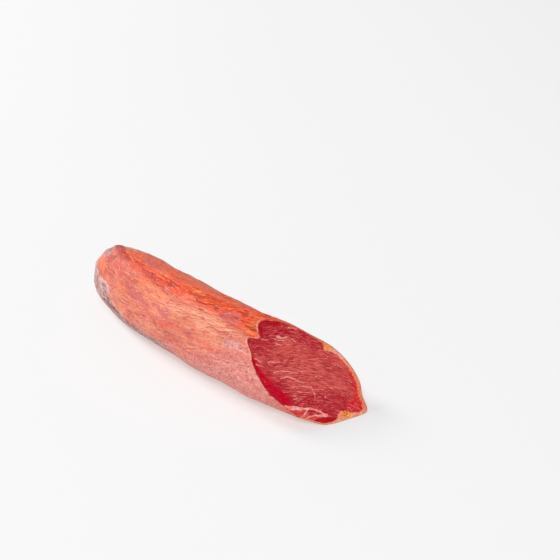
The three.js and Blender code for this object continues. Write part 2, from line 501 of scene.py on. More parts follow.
# Painted marks on the skin: place along, angle, half-length, half-width in degrees, strength
skinMarks = dict(
    # pink: the pinker lower side, partly the casing's own colour and partly painted light bounced up from
    # the floor
    pink=[
        (64, 176, 40, 26, 1.1), (20, 196, 30, 12, 0.7), (76, 206, 26, 12, 0.8), (-28, 186, 30, 8, 0.4),
        (52, 144, 12, 8, 0.7), (-30, 198, 30, 8, 0.8), (30, 206, 40, 8, 0.6),
    ],
    # painted shade: a darker, redder top of the skin towards the rounded end
    deepShade=[
        (-94, 116, 12, 10, 1.2), (-78, 120, 14, 9, 1.2), (-100, 142, 9, 9, 0.9), (-90, 134, 9, 8, 0.9),
        (-64, 124, 10, 6, 0.8), (-66, 146, 8, 5, 0.6), (-56, 146, 10, 8, 0.5), (-68, 117, 16, 6, 0.9),
        (-96, 152, 8, 7, 0.7), (-46, 117, 12, 5, 0.7), (-84, 140, 8, 6, 0.8), (-61, 129, 12, 7, 1.0),
        (-85, 121, 8, 6, 0.9),
    ],
    orange=[
        (-102, 134, 4, 6, 1.4), (-98, 141, 4, 5, 1.1), (-84, 152, 9, 7, 0.25), (-66, 122, 9, 4, 0.7),
        (-46, 125, 10, 5, 0.9), (-28, 129, 12, 5, 0.9), (-68, 154, 9, 4, 0.9), (-41, 96, 7, 8, 1.5),
        (18, 106, 12, 4, 0.8), (-64, 82, 14, 8, 0.5), (4, 131, 16, 3, 0.6), (54, 116, 8, 7, 0.9),
        (-44, 142, 10, 3, 0.6), (0, 160, 12, 3, 0.4), (30, 127, 10, 3, 0.5), (4, 190, 14, 4, 0.5),
        (-20, 186, 12, 4, 0.6), (40, 122, 8, 4, 0.5), (-48, 166, 9, 3, 0.6), (-40, 20, 26, 14, 0.6),
        (36, 8, 30, 12, 0.6), (-80, -30, 20, 14, 0.5), (20, -36, 30, 12, 0.5),
    ],
    golden=[
        (-2, 95, 9, 4, 1.1), (53, 117, 5, 6, 1.0), (56, 106, 6, 3, 1.1), (61, 98, 5, 3, 0.9),
        (46, 96, 6, 2, 0.8), (12, 104, 7, 3, 0.7), (-70, 93, 4, 4, 0.8), (30, 88, 10, 4, 0.6),
        (-20, 36, 16, 6, 0.7), (50, 44, 14, 6, 0.7),
    ],
    mauve=[
        (-101, 106, 6, 5, 0.7), (-90, 114, 7, 7, 0.8), (-57, 98, 9, 9, 0.6), (-80, 147, 9, 7, 0.45),
        (-73, 117, 8, 5, 0.9), (-90, 128, 8, 5, 0.6), (-52, 145, 10, 8, 1.2), (-38, 152, 8, 6, 0.6),
        (-3, 173, 10, 6, 0.8), (-16, 148, 8, 4, 0.8), (6, 114, 9, 3, 0.5), (33, 111, 12, 4, 1.0),
        (52, 160, 12, 6, 0.7), (12, 158, 9, 5, 0.9), (-52, 96, 10, 5, 1.0), (-63, 88, 8, 5, 0.8),
        (72, 176, 9, 7, 0.7), (28, 176, 9, 4, 0.6), (56, 140, 9, 4, 0.6), (-27, 116, 8, 4, 0.7),
        (-44, 153, 6, 4, 0.8), (36, 105, 9, 3, 0.8), (-60, 20, 20, 14, 0.6), (0, 60, 22, 10, 0.4),
        (50, -30, 22, 12, 0.7), (-20, -24, 22, 12, 0.6),
    ],
    wine=[
        (-101, 90, 5, 5, 1.4), (-95, 97, 5, 5, 1.4), (-90, 103, 5, 5, 1.4), (-82, 109, 7, 5, 1.1),
        (-42, 112, 8, 3, 0.9), (-24, 107, 8, 3, 0.6), (-66, 108, 12, 4, 0.55), (-51, 112, 10, 4, 0.6),
        (-98, 99, 4, 4, 0.7), (-92, 121, 6, 4, 0.6),
    ],
    rose=[
        (-11, 162, 9, 5, 0.9), (-3, 155, 9, 4, 1.0), (11, 146, 7, 3, 0.7), (20, 162, 12, 5, 0.8),
        (-6, 180, 12, 5, 0.7), (28, 180, 12, 4, 0.8), (-30, 164, 14, 5, 0.6), (-70, 138, 10, 5, 0.5),
        (-55, 176, 6, 3, 1.1), (38, 160, 9, 5, 0.8), (98, 208, 12, 8, 1.0), (-78, 128, 12, 6, 0.7),
        (62, 152, 8, 5, 0.6), (10, 186, 10, 3, 0.6), (-58, 118, 16, 5, 0.7), (-36, 178, 10, 4, 0.5),
        (52, 176, 10, 3, 0.6), (86, 196, 8, 6, 0.5), (20, 50, 24, 12, 0.7), (-70, 0, 20, 12, 0.6),
    ],
    # pale: paler patches, partly the casing's own colour and partly a painted sheen on the middle of the
    # skin near the cut
    pale=[
        (24, 143, 12, 5, 1.1), (38, 131, 9, 4, 1.0), (5, 127, 12, 5, 0.75), (-10, 136, 11, 4, 0.8),
        (18, 117, 12, 4, 0.9), (22, 125, 12, 5, 0.8), (-36, 182, 16, 6, 0.5), (18, 136, 12, 5, 0.9),
        (-50, 172, 16, 7, 0.4), (-96, 115, 3, 4, 0.9), (36, 115, 8, 3, 0.6), (-99, 80, 4, 5, 0.8),
        (-92, 63, 6, 6, 0.9), (-85, 98, 4, 3, 0.9), (48, 108, 6, 3, 0.9), (30, 116, 6, 2, 0.6),
        (-103, 70, 8, 10, 1.1), (72, 166, 12, 6, 0.5), (-34, 101, 3, 3, 0.9), (-40, 134, 14, 3, 0.5),
        (-14, 178, 12, 4, 0.5), (-66, 164, 9, 4, 0.7), (-8, 169, 9, 3, 0.5), (4, 20, 20, 10, 0.6),
        (-30, 60, 14, 8, 0.5),
    ],
    # grey: dried casing at the rounded end, and painted shade along the lower edge of the skin
    grey=[
        (-112, 168, 10, 14, 1.4), (-100, 178, 12, 13, 1.4), (-86, 190, 12, 9, 1.2), (-90, 173, 9, 7, 0.9),
        (-66, 200, 14, 8, 1.1), (-40, 204, 16, 8, 1.0), (-16, 199, 14, 6, 0.9), (14, 208, 20, 5, 0.4),
        (-107, 104, 6, 8, 1.2), (-106, 158, 6, 7, 1.1), (-114, 155, 5, 10, 1.2), (-114, 120, 4, 8, 1.0),
        (-86, 215, 30, 14, 1.2), (-50, 214, 24, 10, 1.0), (-16, 146, 5, 3, 0.4), (-106, 208, 14, 14, 1.1),
        (-104, 116, 4, 7, 1.0), (46, 142, 8, 5, 0.4), (-90, 250, 24, 20, 0.6), (0, 244, 40, 16, 0.5),
        (60, 300, 30, 16, 0.5), (-60, 310, 30, 16, 0.6),
    ],
    lilac=[
        (-106, 156, 6, 4, 1.1), (-92, 163, 7, 4, 1.1), (-83, 168, 6, 4, 1.0), (-63, 189, 7, 3, 0.9),
        (-103, 124, 3, 4, 0.8), (-102, 108, 3, 4, 0.6), (54, 146, 9, 5, 0.6), (78, 170, 8, 5, 0.5),
        (-74, 182, 6, 4, 0.6),
    ],
    # dusky: darker blotches of dried casing at the rounded end, and painted shade along the lower edge
    dusky=[
        (-112, 186, 8, 7, 1.1), (-98, 172, 6, 4, 0.8), (-86, 182, 7, 4, 0.9), (-72, 194, 9, 4, 1.2),
        (-81, 195, 9, 6, 1.5), (-52, 200, 14, 4, 0.8), (-30, 205, 14, 4, 0.7), (-106, 106, 5, 3, 0.8),
        (-97, 78, 7, 4, 0.5), (-104, 96, 4, 4, 0.6), (-91, 120, 5, 6, 0.6), (-81, 57, 7, 7, 0.6),
        (-77, 40, 7, 9, 0.5),
    ],
    stain=[
        (-87, 192, 3, 2.4, 1.4), (-77, 191, 3, 2.2, 1.6), (-69, 190, 3.4, 2, 1.3), (66, 160, 1.8, 1.8, 1.0),
        (68, 169, 2.2, 1.6, 1.0), (75, 174, 1.6, 1.4, 0.8), (42, 138, 1.8, 1.8, 0.8),
        (46, 136, 1.6, 2, 0.7), (55, 146, 2, 1.6, 0.9), (34, 146, 1.8, 1.6, 0.6), (34, 184, 2.2, 1.6, 0.7),
        (-94, 142, 1.6, 1.5, 0.5), (4, 153, 1.8, 1.4, 0.8), (-20, 30, 2, 2, 0.6),
    ],
)

# The edge of the skin round the cut, by the angle round the cut: where the lean shows right up to it,
# with a ragged lip, and where it lies in the shade
bareRim = dict(angle=175, reach=(72, 60), teeth=0.6)
shadedRim = dict(angle=84, reach=(26, 44), loss=0.8)


def onCutFace(centre, normal):
    onPlane = abs(fromCutPlane(centre)) < cutFaceTest["within"]
    return onPlane and normal.dot(cutOutward) > cutFaceTest["outward"]


def onRecessFloor(centre, normal):
    nearest, farthest = recessTest["behind"]
    onFloor = centre.x > recessTest["beyondX"] and nearest < -fromCutPlane(centre) < farthest
    return onFloor and normal.dot(cutOutward) > recessTest["outward"]


def makeCasing():
    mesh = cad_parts["loin"].data.copy()
    piece = bpy.data.objects.new("casing", mesh)
    bpy.context.scene.collection.objects.link(piece)
    editAll(piece)
    bpy.ops.mesh.remove_doubles(threshold=casing["weldWithin"] * mm)
    slack = math.radians(casing["quadSlack"])
    bpy.ops.mesh.tris_convert_to_quads(face_threshold=slack, shape_threshold=slack, topology_influence=2)
    leaveEdit()

    # inset and sink the cut face, and keep its edges crisp
    editFaces(piece, onCutFace)
    bpy.ops.mesh.inset(thickness=casing["wall"] * mm, use_even_offset=True)
    bpy.ops.mesh.extrude_region_move(
        TRANSFORM_OT_translate={"value": -cutOutward * casing["recess"] * mm}
    )
    bpy.ops.mesh.region_to_loop()
    bpy.ops.transform.edge_crease(value=casing["recessCrease"])
    leaveEdit()
    editFaces(piece, onCutFace)
    bpy.ops.mesh.region_to_loop()
    bpy.ops.transform.edge_crease(value=casing["rimCrease"])
    leaveEdit()
    addModifier(piece, "SUBSURF", levels=2)
    return piece


def recessOutline(casingPiece):
    # the edge of the recess floor: angles round the middle of the cut, and how far out it is there
    editFaces(casingPiece, onRecessFloor)
    bpy.ops.mesh.region_to_loop()
    leaveEdit()
    chosen = [vertex.select for vertex in casingPiece.data.vertices]
    edge = placesOf(casingPiece)[chosen]
    angles = anglesOnCut(edge)
    order = np.argsort(angles)
    return angles[order], np.hypot(*onCut(edge))[order]


def addRing(name, outline):
    # a circle drawn out to the edge of the recess, on the plane of the cut
    deselectAll()
    bpy.ops.mesh.primitive_circle_add(vertices=casing["ringPoints"], radius=body["radius"] * mm)
    piece = bpy.context.object
    piece.name = name
    piece.data.name = name
    circle = placesOf(piece)
    turns = np.arctan2(circle[:, 1], circle[:, 0])
    reach = np.interp(np.degrees(turns), *outline, period=360)
    across = np.outer(reach * np.cos(turns), cutAcross)
    movePlaces(piece, np.array(cutMiddle) + across + np.outer(reach * np.sin(turns), cutUp))
    return piece


def skinFlow(places, angles):
    # the skin's places turned round its axis, so that lines along X follow the grain
    x = places[:, 0]
    radius = np.hypot(*fromAxis(places))
    turned = (
        angles + skinGrain["tipTurn"] * np.clip(skinGrain["tipFrom"] - x, 0, None) ** 2
        + skinGrain["cutTurn"] * np.clip(x - skinGrain["cutFrom"], 0, None)
    )
    turned = np.radians(turned)
    return np.column_stack([x, radius * np.cos(turned), radius * np.sin(turned)])


def dressCasing(piece):
    places = placesOf(piece)
    angles = anglesRound(places)
    flow = skinFlow(places, angles)

    # the marks are drawn on places pushed about by noise, so that their outlines are ragged
    x = places[:, 0] + casing["raggedAlong"] * cloudAt(flow, (12, 6, 6), 3, 21)
    around = angles + casing["raggedRound"] * cloudAt(flow, (14, 5, 5), 3, 22)
    band = linesOnSkin(x, unrolled(around), skinBands)
    sway = unrolled(angles) + casing["lineSway"] * cloudAt(flow, (7, 7, 7), 2, 24)
    lines = linesOnSkin(places[:, 0], sway, skinLines)
    # painted highlights along the side of each crease line
    ridgeHighlights = linesOnSkin(places[:, 0], sway + casing["ridgeHighlightOffset"], skinLines)

    def relief(name, layers, seed, maker=cloudAt, **settings):
        return maker(flow, skinRelief[name][1], layers=layers, seed=seed, **settings)

    inBands = smooth(cloudAt(flow, (22, 6, 6), 2, 6) + 1.5 * band, 0.3, 1.2)
    inClumps = smooth(cloudAt(flow, (14, 7, 7), 2, 8), -0.3, 0.6)
    folds = relief("folds", 2, 5, creasesAt, sharp=0.26) * inBands
    creases = relief("creases", 2, 7, creasesAt, sharp=0.24) * inClumps
    upper = 1 - smooth(np.abs(turnFrom(around, upperSide["angle"])), *upperSide["reach"])

    # the grey and dusky marks are crinkled: at the rounded end the casing has dried out, and along the
    # lower edge the marks are painted shade
    driedAndShaded = blobs(x, around, skinMarks["grey"] + skinMarks["dusky"], turnFrom)
    crinkles = relief("crinkles", 3, 9) * smooth(driedAndShaded, 0.3, 1.3)
    raised = dict(
        lumps=relief("lumps", 2, 2), ripples=relief("ripples", 3, 1) * (0.7 + band), folds=-folds,
        creases=-creases, grain=relief("grain", 1, 3), lines=-lines, crinkles=crinkles,
    )
    heights = sum(skinRelief[name][0] * field for name, field in raised.items())
    behindCut = smooth(-fromCutPlane(places), *casing["cutFade"])
    raiseBy(piece, heights * smooth(places[:, 2], *casing["floorFade"]) * behindCut)

    paint(piece, dict(zip(("along", "over", "third"), flow.T)))
    paint(piece, dict(
        band=band, fold=folds, crease=creases, crinkle=crinkles, line=lines,
        ridgeHighlight=ridgeHighlights * np.clip(1 - 1.2 * band, 0, 1), upper=upper * smooth(x, *upperSide["start"]),
    ))
    paint(piece, {name: blobs(x, around, marks, turnFrom) for name, marks in skinMarks.items()})
    paint(piece, rimFields(places))


def rimFields(places):
    # the pale rim and lip round the cut are partly the casing's own edge and partly a painted highlight on
    # its rounding
    inside = fromCutPlane(places)
    around = anglesOnCut(places)
    bare = smooth(np.abs(turnFrom(around, bareRim["angle"])), *bareRim["reach"])
    shaded = 1 - smooth(np.abs(turnFrom(around, shadedRim["angle"])), *shadedRim["reach"])
    teeth = smooth(inside + bareRim["teeth"] * cloudAt(places, 2.0, 3, 25), 0, 0.15)
    return dict(
        rim=smooth(inside, -0.62, -0.35) * (1 - bare) * (1 - shadedRim["loss"] * shaded),
        bare=bare * teeth, lip=bare * smooth(inside, -0.8, -0.35) * (1 - teeth),
    )


# Colours of the casing as seen on the screen, with painted shade and painted highlights among them
casingColours = dict(
    flesh=(214, 112, 102), warmFlesh=(234, 142, 110), pink=(232, 148, 146), deepShade=(202, 88, 72),
    upper=(232, 86, 48), paleStreak=(244, 154, 120), darkStreak=(198, 84, 70), rose=(228, 94, 82),
    pale=(246, 172, 142), orange=(243, 126, 80), band=(242, 74, 18), bandGold=(252, 138, 56),
    golden=(246, 150, 70), mauve=(204, 98, 100), wine=(178, 64, 66), grey=(166, 150, 152),
    dusky=(126, 90, 92), lilac=(232, 194, 192), crinkleHollowShade=(120, 88, 90), crinkleTopHighlight=(224, 206, 204),
    paleFleck=(246, 188, 176), darkFleck=(190, 92, 86), crease=(168, 58, 44), fold=(156, 38, 16),
    wrinkle=(178, 62, 44), ridgeHighlight=(255, 196, 160), line=(178, 62, 34), stain=(96, 40, 56),
    paleHair=(252, 184, 158), darkHair=(178, 62, 48), paleSpeck=(255, 210, 190), darkSpeck=(156, 52, 44),
    rim=(244, 150, 112), lip=(252, 178, 158), bare=(186, 30, 42),
)

# How much each painted patch is broken up by streaks, and its strength
skinPatches = dict(
    pink=(1.0, 0.8), deepShade=(1.0, 0.85), upper=(1.0, 0.85), rose=(1.2, 0.6), pale=(1.4, 0.65),
    orange=(1.4, 0.8), golden=(1.4, 0.7), mauve=(0.8, 0.75), wine=(0.8, 0.8), grey=(1.2, 0.85),
    dusky=(1.2, 0.8), lilac=(0.8, 0.75),
)


def casingFinish():
    finish = Finish("casing", casingColours)
    broad = finish.cloud(finish.grain(24, 11), 3, 0.55, 0.4)
    blotch = finish.cloud(finish.grain(7, 3.6, 3.0), 4, 0.66, 0.6)
    streak = finish.cloud(finish.grain(10, 1.5, 7.0), 4, 0.66, 0.7)
    hair = finish.cloud(finish.grain(3.2, 0.75, 11.0), 3, 0.62, 0.4)
    speck = finish.cloud(finish.places(0.7), 2, 0.6)
    fleck = finish.cloud(finish.places(1.6), 3, 0.66, 0.5)
    long = finish.cloud(finish.grain(26, 3.4, 5.0), 2, 0.5, 0.2)
    wrinkle = (0.016 - abs(long - 0.5)).over(0, 0.016) * blotch.over(0.44, 0.58)
    painted = finish.painted
    band = painted("band")
    grey = painted("grey")

    def patched(colour, *names):
        for name in names:
            streaks, share = skinPatches[name]
            ragged = (blotch - 0.5) * 0.9 + (streak - 0.5) * streaks + (hair - 0.5) * 0.5
            colour = finish.tint((painted(name) + ragged).over(0.15, 0.95) * share, colour, name)
        return colour

    hue = (broad - 0.5) * 0.8 + (blotch - 0.5) * 1.3 + (streak - 0.5) * 0.5 + 0.5
    colour = finish.tint(hue.over(0.3, 0.7), "flesh", "warmFlesh")
    # the deep patches are painted shade on the top of the skin towards the rounded end
    # the pink patches are partly painted light bounced up from the floor
    colour = patched(colour, "pink", "deepShade", "upper")
    # the pale streaks are partly painted highlights along the skin's fine wrinkles
    colour = finish.tint(streak.over(0.5, 0.66) * 0.5, colour, "paleStreak")
    colour = finish.tint((1 - streak).over(0.52, 0.68) * 0.5, colour, "darkStreak")
    # the pale patches are partly a painted sheen
    colour = patched(colour, "rose", "pale", "orange")

    # the bands, and what lies over them
    strong = (band + (streak - 0.5) * 1.5 + (hair - 0.5) * 0.6).over(0.25, 0.85)
    colour = finish.tint(strong * 0.9, colour, "band")
    gold = (band * 0.6 + (hair - 0.5) * 1.4 + (blotch - 0.5) * 1.2).over(0.6, 1.0)
    colour = finish.tint(gold * 0.6, colour, "bandGold")
    # the grey and dusky patches are dried casing at the rounded end and painted shade along the lower edge
    colour = patched(colour, "golden", "mauve", "wine", "grey", "dusky", "lilac")
    crinkle = painted("crinkle") + (hair - 0.5) * 0.5
    # painted shade in the hollows of the crinkles and painted highlights on their tops
    colour = finish.tint((0 - crinkle).over(0.06, 0.4) * 0.6, colour, "crinkleHollowShade")
    colour = finish.tint(crinkle.over(0.08, 0.45) * grey.over(0.2, 0.8) * 0.5, colour, "crinkleTopHighlight")
    flecked = (painted("pink") + grey * 0.7).over(0.2, 1.0) + 0.15
    flecks = (flecked * 0.5, "paleFleck"), (flecked * 0.55, "darkFleck")
    colour = finish.mottle(colour, fleck, (0.5, 0.66), *flecks)

    # lines, stains and the finest marks
    colour = finish.tint(painted("crease").over(0.3, 0.95) * 0.65, colour, "crease")
    colour = finish.tint(painted("fold").over(0.2, 0.9) * 0.75, colour, "fold")
    colour = finish.tint(wrinkle * 0.4, colour, "wrinkle")
    # painted highlight beside each crease line
    colour = finish.tint(painted("ridgeHighlight").over(0.25, 0.8) * 0.4, colour, "ridgeHighlight")
    colour = finish.tint(painted("line").over(0.25, 0.8) * 0.7, colour, "line")
    stain = (painted("stain") + (speck - 0.5) * 0.9 + (hair - 0.5) * 0.6).over(0.35, 0.8)
    colour = finish.tint(stain * 0.8, colour, "stain")
    colour = finish.mottle(colour, hair, (0.54, 0.7), (0.5, "paleHair"), (0.55, "darkHair"))
    colour = finish.mottle(colour, speck, (0.58, 0.72), (0.35, "paleSpeck"), (0.4, "darkSpeck"))
    # the pale rim and lip are partly a painted highlight on the rounded edge of the cut
    colour = finish.tint(painted("rim") * hair.over(0.36, 0.6) * 0.75, colour, "rim")
    colour = finish.tint(painted("lip") * (0.3 + hair.over(0.4, 0.64) * 0.5), colour, "lip")
    colour = finish.tint(painted("bare") * 0.9, colour, "bare")
    relief = streak * 0.45 + hair * 0.35 + speck * 0.2 - wrinkle * 0.15
    finish.shade({
        "Base Color": colour, "Roughness": 0.42 + (1 - hair) * 0.16,
        "Normal": finish.bump(relief, 0.5, 0.6),
        "Specular IOR Level": 0.1, "Coat Weight": 0.02, "Coat Roughness": 0.3,
        "Subsurface Weight": 0.06, "Subsurface Radius": (2.0 * mm, 0.7 * mm, 0.5 * mm),
        "Subsurface Scale": 1,
    })
    return finish


# Lean: the cut meat, a slab in the recess with a fine web of rings on top

lean = dict(
    sink=0.25, thickness=1.1, floorGap=0.08, rings=84, ripple=0.1, seam=0.16, streak=0.07, grainSway=0.7,
    lineSway=0.45, raggedAcross=1.2, raggedUp=0.9, wedgeRagged=1.3,
)

# Lines on the cut: points across and up from its middle, half-widths along them, and strength
cutLines = dict(
    seam=[
        ([(-24, -16.2), (-19, -17.5), (-16, -18.5), (-13, -19.5), (-8, -21), (-5, -22.6), (-2.5, -24.4),
          (0, -26), (2, -28), (3, -29.4)], (1.7, 1.5, 1.1, 0.7, 0.6, 0.7), 1.0),
        ([(-8, -21.1), (-9.5, -22.6), (-11, -23.5), (-13, -24.8), (-16, -26)], (0.5, 0.7, 0.5), 0.8),
        ([(3, -29.2), (1.6, -29.6), (-1, -28), (-5, -26.7), (-10, -26.5), (-13, -27.4)],
         (0.7, 0.6, 0.5, 0.6), 0.95),
        ([(-2, -27.8), (0.5, -27), (2.2, -28.2)], (0.4, 0.4), 0.5),
    ],
    streak=[
        ([(-21.1, 8.3), (-16.5, 8.1), (-12.8, 6.7), (-5.3, 3.1)], (0.45, 0.3), 0.9),
        ([(-18, 3.2), (-14, 3.0), (-10.5, 1.4), (-6.1, -2.3), (-3, -3.6)], (0.35, 0.5, 0.4, 0.3), 1.0),
        ([(-0.1, -7.6), (0.3, -11.2), (-0.1, -15.7)], (0.4, 0.3), 0.7),
        ([(-23.5, 33.2), (-19.4, 30.6), (-14.3, 30.3), (-5.6, 26.1)], (0.5, 0.35), 0.8),
        ([(-9.5, 30.4), (-6.8, 28.6), (-3.4, 28.3)], (1.1, 0.6), 0.8),
        ([(0.2, 34.2), (2.7, 33.2), (5.6, 31.4)], (0.6, 0.4), 0.8),
        ([(-0.6, 26.2), (0.8, 24.8), (1.6, 23.6)], (0.45, 0.3), 0.9),
        ([(-12.5, 25.6), (-9.5, 24.2)], (0.4, 0.3), 0.9),
        ([(-31, 16.6), (-28.5, 14.9), (-25.6, 12.8)], (0.4, 0.3), 0.8),
        ([(-22, 16.2), (-18, 14.6), (-14, 13.4)], (0.5, 0.35), 0.8),
        ([(12, 9), (15.5, 7.4), (18.5, 6.8)], (0.35, 0.25), 0.6),
        ([(21, 1), (24, -0.4), (26, -2)], (0.4, 0.25), 0.6),
        ([(4, 10.5), (7, 9.2), (9.5, 9)], (0.3, 0.25), 0.6),
        ([(-4, 14.6), (-1, 13.8), (3, 12.4)], (0.35, 0.25), 0.6),
        ([(18, -19.6), (22, -21.2)], (0.35, 0.25), 0.6),
        ([(2, -14.6), (8, -17.2), (14, -18.4)], (0.4, 0.3), 0.4),
        ([(-29.9, 4.4), (-29.4, 3.4)], (0.5, 0.4), 0.5),
        ([(-15.2, 27.1), (-12.6, 26.1), (-10.3, 24.4)], (0.4, 0.25), 0.6),
        ([(-5.1, 27.2), (-3.1, 25.6), (-1.1, 23.8)], (0.35, 0.25), 0.7),
        ([(-10.6, -8.6), (-7, -9.5), (-3.7, -11.2)], (0.4, 0.3), 0.7),
        ([(2.1, -10.3), (6.1, -11.9)], (0.4, 0.25), 0.6),
        ([(9.9, -7.8), (12, -10.9), (14.6, -14.4)], (0.35, 0.25), 0.7),
        ([(5.6, -2.1), (9.4, -5.8)], (0.35, 0.25), 0.7),
        ([(-12.3, -4.6), (-6.1, -5.8), (-0.3, -8)], (0.3, 0.4, 0.3), 0.7),
        ([(-20.3, -6.4), (-13.9, -6.9)], (0.35, 0.25), 0.6),
        ([(-15.5, -12.5), (-8.4, -14.4)], (0.35, 0.25), 0.6),
        ([(0.2, -19.4), (3.9, -21.8)], (0.35, 0.25), 0.6),
        ([(16, -12.7), (19.4, -15.8)], (0.35, 0.25), 0.6),
        ([(6.7, -17), (10.3, -21.2)], (0.35, 0.25), 0.6),
        ([(-30.2, 20.8), (-28.5, 19.4), (-27.3, 16.7)], (0.4, 0.25), 0.8),
    ],
)

# Patches of other colours on the cut: place across and up, half-widths and strength
cutMarks = dict(
    warm=[
        (-19, -22, 4, 1.8, 1.2), (-22.5, -17, 3, 2, 1.3), (-14, -24.4, 3, 1.5, 0.9),
        (-9, -28.6, 3.5, 1.2, 1.1), (29, -25, 4, 6, 0.6), (30, -12, 3, 11, 0.8), (25, -28, 8, 5, 1.1),
        (-31, 17, 2.5, 5, 0.8), (20, 16, 4, 4, 0.4), (-20, -9, 3, 5, 0.4), (4, -35, 5, 1.4, 0.6),
        (-26, 30, 4, 3, 0.4),
    ],
    # dark: the darkest lean, and near the top edge of the cut painted shade
    dark=[
        (1, -32, 5, 1.8, 1.3), (7, -33.6, 3.4, 1.3, 0.8), (-5, -30.4, 4, 1.1, 0.9), (-7, 39, 6, 2.6, 0.8),
        (-4, -24.8, 3, 1.5, 0.5), (-32.6, 18, 1.8, 7, 1.1), (-20, 38, 3, 6, 1.0), (-31, 33, 2.5, 1.8, 1.0),
        (-27, 36, 2.5, 1.6, 0.9), (-13, 43, 5, 3, 0.8), (15, 24, 5, 6, 0.4), (-32, 26, 1.6, 3, 0.8),
    ],
    # near the top edge of the cut these richer reds are painted shade; lower down they are the meat's own
    richAndShade=[
        (-14, 37, 9, 8, 1.3), (-24, 26, 7, 9, 0.7), (2, 34, 10, 6, 0.8), (16, 20, 6, 8, 0.7),
        (-6, -17, 13, 4.5, 1.0), (10, -22, 14, 8, 1.1), (18, -30, 12, 4, 1.0), (-4, -25, 4, 2.5, 1.3),
        (26, -30, 7, 5, 1.1), (-19, -8, 6, 9, 0.8), (-17, 27, 6, 5, 0.6), (22, 6, 5, 6, 0.5),
        (-25, 10, 4, 7, 0.8), (-19, 0, 3.5, 6, 0.8), (-30, 29, 4, 5, 0.8), (3, 30, 7, 5, 0.7),
        (8, 24, 7, 5, 0.7), (13, 18, 4, 4, 0.6), (10, -26, 9, 4, 0.5),
    ],
    light=[
        (-8, 8, 14, 7, 0.5), (6, 0, 12, 9, 0.6), (-14, 18, 9, 6, 0.4), (18, -8, 10, 7, 0.4),
        (-4, 24, 8, 5, 0.3),
    ],
)

# Edge of the crimson wedge along the near side: heights up, each with its place across
wedgeEdge = [
    (-18, -26), (-16, -21), (-14, -17.4), (-11.5, -16.6), (-7, -19.4), (-2, -22), (3, -24.8), (7.5, -27.6),
    (14, -29.4), (20, -30), (25, -33),
]

# Grain of the meat: its lean from across, where its fall is least, and how the fall grows from there
meatGrain = dict(tilt=-25, flattest=-12, fall=0.1, leftGrowth=-0.0175, rightGrowth=0.0105)


def grainOnCut(across, up):
    # places along and across the grain
    tilt = math.radians(meatGrain["tilt"])
    along = across * math.cos(tilt) + up * math.sin(tilt)
    off = across - meatGrain["flattest"]
    growth = np.where(off < 0, meatGrain["leftGrowth"], meatGrain["rightGrowth"])
    return along, up + meatGrain["fall"] * across + growth * off ** 2


def makeLean(piece):
    # rings drawn in from the recess edge to a point in the middle
    editAll(piece, "EDGE")
    bpy.ops.transform.translate(value=-cutOutward * lean["sink"] * mm)
    middle = (cutMiddle - cutOutward * lean["sink"]) * mm
    for ring in range(lean["rings"] - 1, 0, -1):
        share = ring / (ring + 1)
        bpy.ops.mesh.extrude_edges_move()
        bpy.ops.transform.resize(value=(share, share, share), center_override=middle)
    bpy.ops.mesh.extrude_edges_move()
    bpy.ops.mesh.merge(type="CENTER")
    leaveEdit()
    turnOutward(piece)


def dressLean(piece):
    places = placesOf(piece)
    across, up = onCut(places)
    along, over = grainOnCut(across, up)
    flat = np.zeros(len(along))
    sheet = np.column_stack([along, over, flat])
    swayed = np.column_stack([along, over + lean["grainSway"] * cloudAt(sheet, (9, 4, 1), 2, 4), flat])
    ripple = cloudAt(swayed, (7, 0.9, 1), 2, 5)
    sway = lean["lineSway"] * cloudAt(sheet, (3, 3, 1), 2, 9)
    fields = {
        name: np.minimum(sum(nearLine(across + sway, up + sway, line) for line in lines), 1)
        for name, lines in cutLines.items()
    }
    ragged = cloudAt(sheet, (6, 1.6, 1), 3, 10)
    for name, marks in cutMarks.items():
        fields[name] = blobs(across + lean["raggedAcross"] * ragged, up + lean["raggedUp"] * ragged, marks)
    ups, edges = np.array(wedgeEdge).T
    fields["wedge"] = np.interp(up, ups, edges) - across + lean["wedgeRagged"] * ragged
    dip = cut["dish"] * (1 - np.hypot(across, up) ** 2 / body["radius"] ** 2)
    lines = lean["seam"] * fields["seam"] + lean["streak"] * fields["streak"]
    raiseBy(piece, lean["ripple"] * ripple + lines - np.clip(dip, 0, None))
    paint(piece, fields)
    paint(piece, dict(zip(("along", "over", "third"), swayed.T)))

    # close it underneath
    editAll(piece, "FACE")
    bpy.ops.mesh.region_to_loop()
    bpy.ops.mesh.extrude_edges_move(
        TRANSFORM_OT_translate={"value": -cutOutward * lean["thickness"] * mm}
    )
    bpy.ops.mesh.edge_face_add()
    leaveEdit()
    liftAboveFloor(piece, lean["floorGap"])


# Colours of the lean as seen on the screen, with painted shade among them
leanColours = dict(
    lean=(200, 56, 60), paleLean=(220, 84, 78), light=(228, 104, 94), richAndShade=(188, 22, 46),
    warm=(230, 32, 38), paleMarbling=(238, 116, 108), darkMarbling=(156, 20, 36),
    paleThread=(255, 142, 132), darkThread=(138, 14, 30), speck=(255, 186, 176), crimson=(186, 0, 52),
    redCrimson=(208, 0, 30), wedgeThread=(238, 60, 72), dark=(186, 0, 26), streak=(255, 172, 162),
    seam=(255, 136, 128), paleSeam=(255, 192, 190), warmSeam=(255, 122, 78),
)


